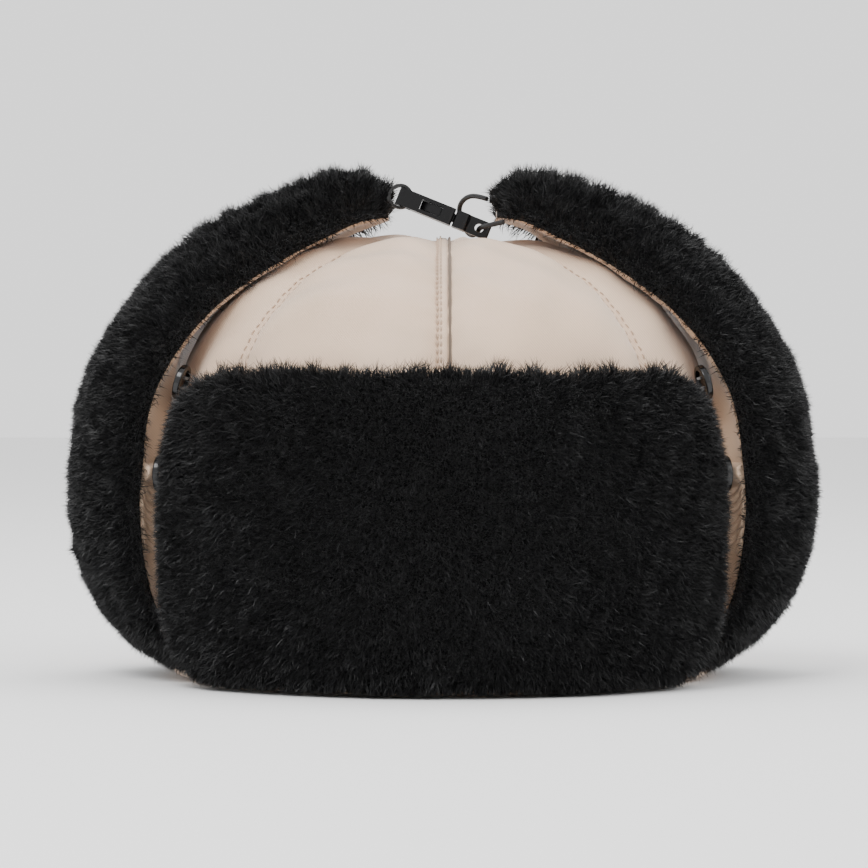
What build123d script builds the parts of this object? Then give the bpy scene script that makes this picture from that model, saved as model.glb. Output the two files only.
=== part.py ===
from build123d import *
import os
from math import acos, cos, hypot, pi, radians, sin, tan

# A trapper hat standing on its rim, in millimetres: +Z is up and the hat faces -Y.
# The origin is on the floor, under the middle of the hat.

# ---- Crown: six gores over wadding and a lining, on an oval that fits the head ----
CROWN_WIDTH = 184.0          # outside, ear to ear
CROWN_DEPTH = 216.0          # outside, front to back
CROWN_HEIGHT = 155.0
WALL_HEIGHT = 80.0           # straight wall below the dome
DOME_POWER = 2.3             # 2 is a true ellipse, more is squarer
SIDE_SEAM_ANGLE = 52.0       # oval angle from the front or back seam to the side seams
GORE_TIP_RADIUS = 1.0        # the gores stop short of each other where all seams meet
SHELL = 1.0                  # nylon
CROWN_WADDING = 4.6
LINING = 0.8
LAYER_GAP = 0.3              # air left between layers of cloth
CROWN_GAP = 0.8              # the same between the crown's curved layers
PANEL_GAP_ANGLE = 0.3        # between the inner layers' panels, at their seams
WELT_WIDTH = 3.6
WELT_HEIGHT = 1.0

# ---- Rim: the binding folds round the lower edges, the sweatband lines them ----
BINDING_BASE = 2.2
BINDING_LIP = 0.8
BINDING_HEIGHT = 9.0
SWEATBAND = 1.2
SWEATBAND_HEIGHT = 28.0

# ---- Flaps ----
FLAP_CLOTH = 1.2
FLAP_SEAT = 1.7              # from the crown to a flap's sewn edge
FRONT_FLAP_HEIGHT = 108.0
FRONT_FLAP_WIDTH = 204.0
FRONT_FLAP_THICKNESS = 20.2
FRONT_FLAP_WADDING = 6.5
FRONT_FLAP_TOP_RADIUS = 26.0
FRONT_FLAP_FOOT_RADIUS = 12.0
FRONT_FLAP_END = 60.0        # the front flap's ends stop this far in front of the ears
EAR_FLAP_WIDTH = 106.0
EAR_FLAP_THICKNESS = 24.0
EAR_FLAP_BELLY = 18.0        # how far the folded flap stands off the crown wall
NECK_FLAP_WIDTH = 132.0
NECK_FLAP_THICKNESS = 18.0
NECK_FLAP_BELLY = 2.2
FLAP_WADDING_SHARE = 0.3     # of a flap's thickness
FLAP_EDGE_SHARE = 0.65       # a flap is thinner along its edges
FLAP_FOOT = 5.0              # the flaps' sewn edges stay this far above the floor

# ---- Sewn buttons ----
BUTTON_DIAMETER = 12.5
BUTTON_THICKNESS = 2.4
BUTTON_RIM = 1.6
BUTTON_DISH = 0.8            # the face sinks this far inside the rim
BUTTON_TURN = 12.0           # degrees towards the front
BUTTON_SEAT = -0.5           # its back sinks into the flap's rounded edge, past the sections' corners
BUTTON_HOLE = 1.8
BUTTON_HOLE_PITCH = 3.6
THREAD = 0.9
UPPER_BUTTON_STOP = 4.75     # which section of the flap it is sewn at, counted from its foot
LOWER_BUTTON_STOP = 3.45

# ---- Side release clip, strap and elastic cord ----
CLIP_CENTRE = (0.5, -16.0, 164.4)
CLIP_TILT = 22.0             # it slopes down towards the right
CLIP_WIDTH = 15.0
CLIP_THICKNESS = 6.2
CLIP_WALL = 1.3
CLIP_RADIUS = 1.2
CLIP_GAP = 0.3               # running gap round the prongs
SOCKET_START = -17.5
SOCKET_LENGTH = 21.0
WINDOW_START = -9.0
WINDOW_LENGTH = 8.0
SLOT_LENGTH = 4.0
BAR = 1.8
PLUG_LENGTH = 13.4
PLUG_NECK_WIDTH = 7.0
PLUG_NECK_LENGTH = 8.6
PRONG_LENGTH = 14.5
PRONG_WIDTH = 1.8
PRONG_OFFSET = 4.0           # from the clip's middle to the prong's middle
TONGUE_WIDTH = 1.6
CORD_DIAMETER = 1.8
CORD_HOLE = 3.2
CORD_HOLE_SETBACK = 4.0      # from the plug's end
STRAP_WIDTH = 9.0
STRAP_THICKNESS = 0.9
TAB_WIDTH = 8.0
TAB_THICKNESS = 2.6
TAB_LENGTH = 2.4

# ---- Shirred elastic on the front edge of each ear flap ----
SHIRR_WIDTH = 11.0
SHIRR_HEIGHT = 18.0
SHIRR_DEPTH = 2.6
SHIRR_RIBS = 6
SHIRR_TAPER = 25.0
SHIRR_STOP = 2.6

HALF_WIDTH = CROWN_WIDTH / 2
HALF_DEPTH = CROWN_DEPTH / 2
DEPTH_RATIO = CROWN_DEPTH / CROWN_WIDTH
SIDES = {"right": -1, "left": 1}   # the wearer's right ear is on -X

os.makedirs("parts", exist_ok=True)


def save(piece, name):
    """Label a finished piece and write it to its own file."""
    piece.part.label = name
    export_step(piece.part, f"parts/{name}.step")


def dome_points(inset, start, steps=7):
    """The dome's outline on its wide side, inset by a thickness, from the wall up to a small start radius."""
    wide = HALF_WIDTH - inset
    high = CROWN_HEIGHT - WALL_HEIGHT - inset
    last = acos((start / wide) ** (DOME_POWER / 2))
    turns = [last * i / (steps - 1) for i in range(steps)]
    return [(wide * cos(t) ** (2 / DOME_POWER), WALL_HEIGHT + high * sin(t) ** (2 / DOME_POWER)) for t in turns]


def crown_side(reach, way):
    """A point of the crown's outline and its outward normal: way 0 to 1 climbs the wall, 1 to 2 the dome."""
    if way <= 1:
        return (reach, way * WALL_HEIGHT), (1.0, 0.0)
    rise = CROWN_HEIGHT - WALL_HEIGHT
    turn = radians(90 * (way - 1))
    out, up = cos(turn) ** (2 / DOME_POWER), sin(turn) ** (2 / DOME_POWER)
    slope = (out ** (DOME_POWER - 1) / reach, up ** (DOME_POWER - 1) / rise)
    size = hypot(*slope)
    return (reach * out, WALL_HEIGHT + rise * up), (slope[0] / size, slope[1] / size)


def crown_layer(outer, inner, foot, panels, seam_gap=0.0):
    """Panels of a crown layer between two insets: a turned profile, drawn out to the head's oval."""
    for first, last in panels:
        turn = radians(first + seam_gap / 2)
        wall_plane = Plane((0, 0, 0), x_dir=(cos(turn), sin(turn), 0), z_dir=(sin(turn), -cos(turn), 0))
        with BuildSketch(wall_plane) as profile:
            with BuildLine():
                out_curve = Spline(*dome_points(outer, GORE_TIP_RADIUS), tangents=((0, 1), (-1, 0)))
                in_curve = Spline(*dome_points(inner, GORE_TIP_RADIUS), tangents=((0, 1), (-1, 0)))
                Polyline(out_curve @ 0, (HALF_WIDTH - outer, foot), (HALF_WIDTH - inner, foot), in_curve @ 0)
                Line(out_curve @ 1, in_curve @ 1)
            make_face()
        revolve(profile.sketch, axis=Axis.Z, revolution_arc=last - first - seam_gap)
    scale(by=(1, DEPTH_RATIO, 1))


def ring(outer, inner, foot, height):
    """An upright oval ring between two insets from the crown's outside."""
    with BuildSketch(Plane.XY.offset(foot)) as profile:
        Ellipse(HALF_WIDTH - outer, (HALF_WIDTH - outer) * DEPTH_RATIO)
        Ellipse(HALF_WIDTH - inner, (HALF_WIDTH - inner) * DEPTH_RATIO, mode=Mode.SUBTRACT)
    extrude(profile.sketch, amount=height)


# ---- Crown ----
wadding_inset = SHELL + CROWN_GAP
lining_inset = wadding_inset + CROWN_WADDING + CROWN_GAP
cavity_inset = lining_inset + LINING
cloth_foot = BINDING_BASE + LAYER_GAP

seams = [-90, -90 + SIDE_SEAM_ANGLE, 90 - SIDE_SEAM_ANGLE, 90, 90 + SIDE_SEAM_ANGLE, 270 - SIDE_SEAM_ANGLE, 270]
panels = list(zip(seams, seams[1:]))
gore_names = ["front_left", "side_left", "back_left", "back_right", "side_right", "front_right"]
for gore_name, panel in zip(gore_names, panels):
    with BuildPart() as gore:
        crown_layer(0, SHELL, cloth_foot, [panel])
    save(gore, f"crown_gore_{gore_name}")

with BuildPart() as crown_wadding:
    crown_layer(wadding_inset, wadding_inset + CROWN_WADDING, cloth_foot, panels, PANEL_GAP_ANGLE)
save(crown_wadding, "crown_wadding")

with BuildPart() as crown_lining:
    crown_layer(lining_inset, cavity_inset, cloth_foot, panels, PANEL_GAP_ANGLE)
save(crown_lining, "crown_lining")

welt_foot = BINDING_HEIGHT + LAYER_GAP
with BuildPart() as crown_welt:
    with BuildSketch(Plane.YZ):
        for rise in (LAYER_GAP + WELT_HEIGHT, LAYER_GAP):
            outline = [(y * DEPTH_RATIO, z) for y, z in dome_points(-rise, GORE_TIP_RADIUS)]
            with BuildLine():
                half = Spline(*outline, tangents=((0, 1), (-1, 0)))
                other = Spline(*[(-y, z) for y, z in outline], tangents=((0, 1), (1, 0)))
                Line(half @ 1, other @ 1)
                Polyline(half @ 0, (outline[0][0], welt_foot), (-outline[0][0], welt_foot), other @ 0)
            make_face(mode=Mode.ADD if rise > LAYER_GAP else Mode.SUBTRACT)
    extrude(amount=WELT_WIDTH / 2, both=True)
save(crown_welt, "crown_welt")

# ---- Rim ----
band_inset = cavity_inset + LAYER_GAP
band_face = band_inset + SWEATBAND
with BuildPart() as sweatband:
    ring(band_inset, band_face, cloth_foot, SWEATBAND_HEIGHT)
save(sweatband, "sweatband")

lip_out, lip_in = -LAYER_GAP, band_face + LAYER_GAP
with BuildPart() as rim_binding:
    ring(lip_out - BINDING_LIP, lip_in + BINDING_LIP, 0, BINDING_BASE)
    ring(lip_out - BINDING_LIP, lip_out, 0, BINDING_HEIGHT)
    ring(lip_in, lip_in + BINDING_LIP, 0, BINDING_HEIGHT)
save(rim_binding, "rim_binding")

# ---- Front flap: an oval wall round the forehead, cut to its rounded outline ----
front_inner = FLAP_SEAT
front_layers = {
    "front_flap_cloth": (front_inner, front_inner + FLAP_CLOTH),
    "front_flap_wadding": (front_inner + FLAP_CLOTH + LAYER_GAP, front_inner + FLAP_CLOTH + FRONT_FLAP_WADDING),
    "front_flap_fur": (front_inner + FLAP_CLOTH + FRONT_FLAP_WADDING + LAYER_GAP, front_inner + FRONT_FLAP_THICKNESS),
}
for layer_name, (near, far) in front_layers.items():
    foot = 0 if layer_name == "front_flap_fur" else LAYER_GAP
    with BuildPart() as front_layer:
        with BuildSketch():
            Ellipse(HALF_WIDTH + far, HALF_DEPTH + far)
            Ellipse(HALF_WIDTH + near, HALF_DEPTH + near, mode=Mode.SUBTRACT)
            with Locations((0, -FRONT_FLAP_END)):
                Rectangle(2 * CROWN_WIDTH, 2 * CROWN_DEPTH, align=(Align.CENTER, Align.MIN), mode=Mode.SUBTRACT)
        extrude(amount=FRONT_FLAP_HEIGHT)
        with BuildSketch(Plane.XZ):
            with Locations((0, foot)):
                Rectangle(FRONT_FLAP_WIDTH, FRONT_FLAP_HEIGHT - 2 * foot, align=(Align.CENTER, Align.MIN))
            fillet(vertices().group_by(Axis.Y)[-1], FRONT_FLAP_TOP_RADIUS)
            fillet(vertices().group_by(Axis.Y)[0], FRONT_FLAP_FOOT_RADIUS)
        extrude(amount=CROWN_DEPTH, mode=Mode.INTERSECT)
    save(front_layer, layer_name)


# ---- Hinged flaps: cloth, wadding and fur, lofted through bowed sections up the crown's side ----
# Each stop is (way up the crown, share of belly, share of thickness, share of width, bow towards the crown).
EAR_STOPS = [
    (FLAP_FOOT / WALL_HEIGHT, 0.0, 0.21, 0.92, 9.0),
    (0.20, 0.40, 0.62, 0.96, 9.0),
    (0.42, 0.78, 0.86, 1.00, 9.0),
    (0.75, 0.96, 1.00, 1.00, 9.5),
    (1.05, 0.85, 1.00, 0.98, 9.5),
    (1.22, 0.60, 1.00, 0.93, 8.5),
    (1.40, 0.36, 1.00, 0.85, 7.5),
    (1.58, 0.22, 0.98, 0.74, 6.0),
    (1.74, 0.25, 0.94, 0.62, 4.5),
    (1.84, 0.38, 0.82, 0.51, 3.0),
    (1.90, 0.50, 0.40, 0.42, 2.5),
]
NECK_STOPS = [
    (FLAP_FOOT / WALL_HEIGHT, 0.0, 0.30, 0.95, 28.0),
    (0.20, 0.50, 0.82, 1.00, 28.0),
    (0.55, 1.00, 1.00, 1.00, 28.0),
    (0.95, 1.00, 1.00, 0.96, 27.0),
    (1.12, 0.80, 0.95, 0.85, 21.0),
    (1.22, 0.60, 0.50, 0.62, 12.0),
]


class Flap:
    """A folded flap: where it lies against the crown, and how thick and wide it is."""

    def __init__(self, name, outward, reach, width, thickness, belly, stops):
        self.name, self.outward, self.reach = name, Vector(outward), reach
        self.width, self.thickness, self.belly, self.stops = width, thickness, belly, stops

    def station(self, number):
        """The section plane at a stop (across the flap, out of the crown), with its thickness, width and bow."""
        way, belly_share, thickness_share, width_share, bow = self.stops[number]
        (across, height), (n_across, n_up) = crown_side(self.reach, way)
        gap = FLAP_SEAT + belly_share * self.belly
        normal = self.outward * n_across + Vector(0, 0, n_up)
        origin = self.outward * (across + gap * n_across) + Vector(0, 0, height + gap * n_up)
        along = Vector(0, 0, 1).cross(self.outward)
        plane = Plane(origin, x_dir=along, z_dir=along.cross(normal))
        return plane, self.thickness * thickness_share, self.width * width_share, bow

    def sections(self, near, far):
        """The layer's section at every stop, between two faces given as functions of the thickness there."""
        drawn = []
        for number in range(len(self.stops)):
            plane, thick, width, bow = self.station(number)
            edge = thick * FLAP_EDGE_SHARE
            with BuildSketch(plane) as section:
                with BuildLine():
                    inner = ThreePointArc((-width / 2, near(edge) - bow), (0, near(thick)), (width / 2, near(edge) - bow))
                    outer = ThreePointArc((-width / 2, far(edge) - bow), (0, far(thick)), (width / 2, far(edge) - bow))
                    Line(inner @ 0, outer @ 0)
                    Line(inner @ 1, outer @ 1)
                make_face()
            drawn.append(section.sketch)
        return drawn

    def front_edge(self, stop):
        """The front corner of the inner face, part of the way between two stops, and the flap's normal there."""
        ends = []
        for number in (int(stop), int(stop) + 1):
            plane, thick, width, bow = self.station(number)
            ends.append((plane.origin + Vector(0, -width / 2, 0) - plane.y_dir * bow, plane.y_dir, thick))
        share = stop - int(stop)
        corner, normal, thick = (near * (1 - share) + far * share for near, far in zip(*ends))
        return corner, normal.normalized(), thick * FLAP_EDGE_SHARE


flap_layers = {
    "cloth": (lambda thick: 0.0, lambda thick: FLAP_CLOTH),
    "wadding": (lambda thick: FLAP_CLOTH + LAYER_GAP,
                lambda thick: FLAP_CLOTH + LAYER_GAP + FLAP_WADDING_SHARE * thick),
    "fur": (lambda thick: FLAP_CLOTH + 2 * LAYER_GAP + FLAP_WADDING_SHARE * thick, lambda thick: thick),
}
ear_flaps = {
    side: Flap(f"{side}_ear_flap", (sign, 0, 0), HALF_WIDTH, EAR_FLAP_WIDTH, EAR_FLAP_THICKNESS, EAR_FLAP_BELLY,
               EAR_STOPS)
    for side, sign in SIDES.items()
}
neck_flap = Flap("neck_flap", (0, 1, 0), HALF_DEPTH, NECK_FLAP_WIDTH, NECK_FLAP_THICKNESS, NECK_FLAP_BELLY,
                 NECK_STOPS)

for flap in (*ear_flaps.values(), neck_flap):
    for layer_name, (near, far) in flap_layers.items():
        with BuildPart() as flap_layer:
            loft(flap.sections(near, far))
        save(flap_layer, f"{flap.name}_{layer_name}")

# ---- Sewn buttons on the front edge of each ear flap, with their thread ----
hole_places = GridLocations(BUTTON_HOLE_PITCH, BUTTON_HOLE_PITCH, 2, 2)


def button_plane(flap, stop):
    """Where a button's back lies: just off the flap's front edge, turned a little to the front."""
    corner, normal, _ = flap.front_edge(stop)
    to_front, to_crown = sin(radians(BUTTON_TURN)), cos(radians(BUTTON_TURN))
    facing = normal * -to_crown + Vector(0, -to_front, 0)
    backward = normal * -to_front + Vector(0, to_crown, 0)
    return Plane(corner + backward * (BUTTON_DIAMETER / 2) + facing * BUTTON_SEAT, x_dir=backward, z_dir=facing)


for side, flap in ear_flaps.items():
    for level, stop in (("upper", UPPER_BUTTON_STOP), ("lower", LOWER_BUTTON_STOP)):
        seat = button_plane(flap, stop)
        with BuildPart() as button:
            with BuildSketch(seat):
                Circle(BUTTON_DIAMETER / 2)
            extrude(amount=BUTTON_THICKNESS)
            fillet(button.edges(), BUTTON_THICKNESS / 4)
            with BuildSketch(seat.offset(BUTTON_THICKNESS)):
                Circle(BUTTON_DIAMETER / 2 - BUTTON_RIM)
            extrude(amount=-BUTTON_DISH, mode=Mode.SUBTRACT)
            with BuildSketch(seat):
                with hole_places:
                    Circle(BUTTON_HOLE / 2)
            extrude(amount=BUTTON_THICKNESS, mode=Mode.SUBTRACT)
        save(button, f"{side}_{level}_button")

        with BuildPart() as thread:
            with BuildSketch(seat.offset(-LAYER_GAP / 2)):
                with hole_places:
                    Circle(THREAD / 2)
            extrude(amount=BUTTON_THICKNESS - BUTTON_DISH + LAYER_GAP)
            with BuildSketch(seat.offset(BUTTON_THICKNESS - BUTTON_DISH + LAYER_GAP / 2)):
                with GridLocations(0, BUTTON_HOLE_PITCH, 1, 2):
                    SlotCenterToCenter(BUTTON_HOLE_PITCH, THREAD)
            extrude(amount=THREAD)
        save(thread, f"{side}_{level}_button_thread")

# ---- Shirred elastic on each ear flap's front edge ----
for side, flap in ear_flaps.items():
    corner, normal, edge = flap.front_edge(SHIRR_STOP)
    face = Plane(corner + normal * (edge / 2) + Vector(0, -LAYER_GAP, 0), x_dir=normal, z_dir=(0, -1, 0))
    with BuildPart() as shirring:
        with BuildSketch(face):
            Rectangle(SHIRR_WIDTH, SHIRR_HEIGHT)
        extrude(amount=SHIRR_DEPTH / 2)
        with BuildSketch(face.offset(SHIRR_DEPTH / 2)):
            with GridLocations(0, SHIRR_HEIGHT / SHIRR_RIBS, 1, SHIRR_RIBS):
                Rectangle(SHIRR_WIDTH, SHIRR_HEIGHT / SHIRR_RIBS / 2)
        extrude(amount=SHIRR_DEPTH / 2, taper=SHIRR_TAPER)
    save(shirring, f"{side}_ear_flap_shirring")

# ---- Side release clip: its own frame has x along the clip and z through its thickness ----
tilt = radians(CLIP_TILT)
clip = Plane(CLIP_CENTRE, x_dir=(cos(tilt), 0, -sin(tilt)), z_dir=(sin(tilt), 0, cos(tilt)))
mouth = SOCKET_START + SOCKET_LENGTH
window_middle = WINDOW_START + WINDOW_LENGTH / 2
cavity_height = CLIP_THICKNESS - 2 * CLIP_WALL
moulding_height = cavity_height - 2 * CLIP_GAP
cavity_start = SOCKET_START + BAR + SLOT_LENGTH + CLIP_WALL
slot_middle = SOCKET_START + BAR + SLOT_LENGTH / 2

with BuildPart() as clip_socket:
    with BuildSketch(clip):
        with Locations((SOCKET_START, 0)):
            Rectangle(SOCKET_LENGTH, CLIP_WIDTH, align=(Align.MIN, Align.CENTER))
    extrude(amount=CLIP_THICKNESS / 2, both=True)
    fillet(clip_socket.edges().filter_by(Axis((0, 0, 0), tuple(clip.z_dir))), CLIP_RADIUS)
    with BuildSketch(clip):
        with Locations((cavity_start, 0)):
            Rectangle(mouth - cavity_start, CLIP_WIDTH - 2 * CLIP_WALL, align=(Align.MIN, Align.CENTER))
        with Locations((window_middle, 0)):
            Rectangle(WINDOW_LENGTH, 2 * CLIP_WIDTH)
    extrude(amount=cavity_height / 2, both=True, mode=Mode.SUBTRACT)
    with BuildSketch(clip):
        with Locations((slot_middle, 0)):
            Rectangle(SLOT_LENGTH, STRAP_WIDTH + 2 * CLIP_GAP)
    extrude(amount=CLIP_THICKNESS, both=True, mode=Mode.SUBTRACT)
save(clip_socket, "clip_socket")

plug_start = mouth + 2 * CLIP_GAP
plug_end = plug_start + PLUG_LENGTH
neck_start = plug_end - PLUG_NECK_LENGTH
hole_middle = plug_end - CORD_HOLE_SETBACK
with BuildPart() as clip_plug:
    with BuildSketch(clip):
        with Locations((plug_start, 0)):
            Rectangle(neck_start - plug_start, CLIP_WIDTH, align=(Align.MIN, Align.CENTER))
        with Locations((neck_start, 0)):
            Rectangle(PLUG_NECK_LENGTH, PLUG_NECK_WIDTH, align=(Align.MIN, Align.CENTER))
    extrude(amount=CLIP_THICKNESS / 2, both=True)
    fillet(clip_plug.edges().filter_by(Axis((0, 0, 0), tuple(clip.z_dir))), CLIP_RADIUS)
    with BuildSketch(clip):
        with Locations((window_middle, 0)):
            Rectangle(plug_start - window_middle, TONGUE_WIDTH, align=(Align.MIN, Align.CENTER))
    extrude(amount=moulding_height / 2, both=True)
    with BuildSketch(Plane(clip.origin, x_dir=clip.x_dir, z_dir=-clip.y_dir)):
        with Locations((hole_middle, 0)):
            Circle(CORD_HOLE / 2)
    extrude(amount=CLIP_WIDTH, both=True, mode=Mode.SUBTRACT)
save(clip_plug, "clip_plug")

# The prongs spring inwards when squeezed, and their heads fill the socket's windows.
prong_root = plug_start - CLIP_GAP
head_start, head_end = WINDOW_START + CLIP_GAP, WINDOW_START + WINDOW_LENGTH - CLIP_GAP
head_face = CLIP_WIDTH / 2 - 2 * CLIP_GAP
prong_inner, prong_outer = PRONG_OFFSET - PRONG_WIDTH / 2, PRONG_OFFSET + PRONG_WIDTH / 2
for prong_name, hand in (("front", -1), ("back", 1)):
    with BuildPart() as prong:
        with BuildSketch(clip):
            with BuildLine():
                Polyline((prong_root, hand * prong_inner), (head_start, hand * prong_inner),
                         (head_start, hand * prong_outer), ((head_start + head_end) / 2, hand * head_face),
                         (head_end, hand * head_face), (head_end, hand * prong_outer),
                         (prong_root, hand * prong_outer), close=True)
            make_face()
        extrude(amount=moulding_height / 2, both=True)
    save(prong, f"clip_prong_{prong_name}")

# ---- Strap from the right ear flap's tip, folded round the socket's bar ----
bar_middle = SOCKET_START + BAR / 2
loop_inner = hypot(BAR, CLIP_THICKNESS) / 2 + CLIP_GAP
tip_plane, tip_thickness, _, _ = ear_flaps["right"].station(len(EAR_STOPS) - 1)
tip_middle = tip_plane.origin + tip_plane.y_dir * (tip_thickness / 2)
strap_face = Plane((0, CLIP_CENTRE[1], 0), x_dir=(1, 0, 0), z_dir=(0, -1, 0))
strap_end = strap_face.to_local_coords(clip.from_local_coords(Vector(bar_middle, 0, 0)))
strap_root = strap_face.to_local_coords(tip_middle) + Vector(LAYER_GAP, 0, 0)
with BuildPart() as clip_strap:
    with BuildSketch(strap_face):
        with Locations((strap_end.X, strap_end.Y)):
            Circle(loop_inner + STRAP_THICKNESS)
        with BuildLine():
            run = Line((strap_root.X, strap_root.Y), (strap_end.X, strap_end.Y))
        trace(run, 2 * STRAP_THICKNESS)
        with Locations((strap_end.X, strap_end.Y)):
            Circle(loop_inner, mode=Mode.SUBTRACT)
    extrude(amount=STRAP_WIDTH / 2, both=True)
save(clip_strap, "clip_strap")

# ---- Elastic cord from a tab on the left ear flap's tip, through the plug, to its cut end ----
CORD_ROUTE = [
    (15.9, -8.6, 170.1), (12.0, -5.0, 171.6), (8.2, -0.4, 171.0), (5.8, 4.6, 167.8), (6.8, 6.8, 162.3),
    (9.4, 4.2, 157.9), (11.4, -1.6, 157.2), (12.8, -7.6, 158.6), (13.1, -19.4, 159.4), (15.8, -25.0, 160.0),
    (21.6, -28.0, 161.2),
]


def cord_path(route):
    """Straight runs joined by tangent arcs, each arc as large as its two runs allow."""
    points = [Vector(point) for point in route]
    here = points[0]
    with BuildLine() as path:
        for before, corner, after in zip(points, points[1:], points[2:]):
            back, ahead = before - corner, after - corner
            turn = pi - radians(back.get_angle(ahead))
            reach = 0.45 * min(back.length, ahead.length)
            radius = reach / tan(turn / 2)
            print("cord bend radius", round(radius, 2))
            bisector = (back.normalized() + ahead.normalized()).normalized()
            start, end = corner + back.normalized() * reach, corner + ahead.normalized() * reach
            Line(here, start)
            ThreePointArc(start, corner + bisector * (radius / cos(turn / 2) - radius), end)
            here = end
        Line(here, points[-1])
    return path.wire()


cord_middle = cord_path(CORD_ROUTE)
with BuildPart() as elastic_cord:
    with BuildSketch(Plane(cord_middle @ 0, z_dir=cord_middle % 0)):
        Circle(CORD_DIAMETER / 2)
    sweep(path=cord_middle)
print("cord length", round(cord_middle.length, 1),
      "volume share", round(elastic_cord.part.volume / (cord_middle.length * pi * CORD_DIAMETER ** 2 / 4), 4))
save(elastic_cord, "elastic_cord")

tab_end = Vector(CORD_ROUTE[0]) + Vector(CORD_DIAMETER / 2, 0, 0)
with BuildPart() as cord_tab:
    with BuildSketch(Plane(tab_end, x_dir=(0, 1, 0), z_dir=(1, 0, 0))):
        RectangleRounded(TAB_WIDTH, TAB_THICKNESS, TAB_THICKNESS / 2.5)
    extrude(amount=TAB_LENGTH)
save(cord_tab, "cord_tab")
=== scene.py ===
import math

import bpy
import numpy as np
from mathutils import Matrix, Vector


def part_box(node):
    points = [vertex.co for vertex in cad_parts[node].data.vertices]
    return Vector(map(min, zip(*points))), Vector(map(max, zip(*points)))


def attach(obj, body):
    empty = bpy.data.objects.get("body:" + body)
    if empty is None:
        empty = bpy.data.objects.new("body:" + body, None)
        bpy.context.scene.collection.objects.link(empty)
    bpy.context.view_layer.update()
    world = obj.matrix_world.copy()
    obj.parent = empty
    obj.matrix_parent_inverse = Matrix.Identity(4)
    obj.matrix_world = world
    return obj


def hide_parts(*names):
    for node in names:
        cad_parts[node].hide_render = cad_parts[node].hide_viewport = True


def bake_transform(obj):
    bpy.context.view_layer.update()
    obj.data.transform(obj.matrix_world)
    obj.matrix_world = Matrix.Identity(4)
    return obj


bl_info = {
    "name": "Trapper Hat",
    "version": (1, 0, 0),
    "blender": (4, 5, 0),
    "location": "3D View > Sidebar > Hat",
    "description": "Builds a padded trapper hat with plush flaps round its packed frame",
    "category": "Object",
}

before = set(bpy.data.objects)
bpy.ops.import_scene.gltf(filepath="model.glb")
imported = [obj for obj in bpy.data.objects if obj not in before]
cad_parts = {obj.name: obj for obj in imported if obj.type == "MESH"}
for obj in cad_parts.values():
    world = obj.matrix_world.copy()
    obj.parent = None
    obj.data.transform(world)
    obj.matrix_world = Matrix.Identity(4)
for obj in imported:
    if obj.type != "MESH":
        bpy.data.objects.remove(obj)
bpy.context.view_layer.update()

MM = 0.001
HALF_WIDTH = float(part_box("crown_gore_side_left")[1][0])
HALF_DEPTH = -float(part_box("crown_gore_front_left")[0][1])
CROWN_HEIGHT = float(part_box("crown_gore_side_left")[1][2])
WALL_HEIGHT = 80 * MM
DOME_POWER = 2.3
SIDE_SEAM_ANGLE = 52.0
SEAMS = np.array([-90, -90 + SIDE_SEAM_ANGLE, 90 - SIDE_SEAM_ANGLE, 90, 90 + SIDE_SEAM_ANGLE,
                  270 - SIDE_SEAM_ANGLE, 270])
GORES = ["front_left", "side_left", "back_left", "back_right", "side_right", "front_right"]
FLAP_SEAT = 1.7 * MM

# Each stop of a flap: way up the crown, share of belly, of thickness, of width, and bow towards the crown.
EAR_STOPS = np.array([
    (0.0625, 0.0, 0.21, 0.92, 9.0), (0.20, 0.40, 0.62, 0.96, 9.0), (0.42, 0.78, 0.86, 1.00, 9.0),
    (0.75, 0.96, 1.00, 1.00, 9.5), (1.05, 0.85, 1.00, 0.98, 9.5), (1.22, 0.60, 1.00, 0.93, 8.5),
    (1.40, 0.36, 1.00, 0.85, 7.5), (1.58, 0.22, 0.98, 0.74, 6.0), (1.74, 0.25, 0.94, 0.62, 4.5),
    (1.84, 0.38, 0.82, 0.51, 3.0), (1.90, 0.50, 0.40, 0.42, 2.5)])
NECK_STOPS = np.array([
    (0.0625, 0.0, 0.30, 0.95, 28.0), (0.20, 0.50, 0.82, 1.00, 28.0), (0.55, 1.00, 1.00, 1.00, 28.0),
    (0.95, 1.00, 1.00, 0.96, 27.0), (1.12, 0.80, 0.95, 0.85, 21.0), (1.22, 0.60, 0.50, 0.62, 12.0)])


# ---------------------------------------------------------------- sizes and colours

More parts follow.
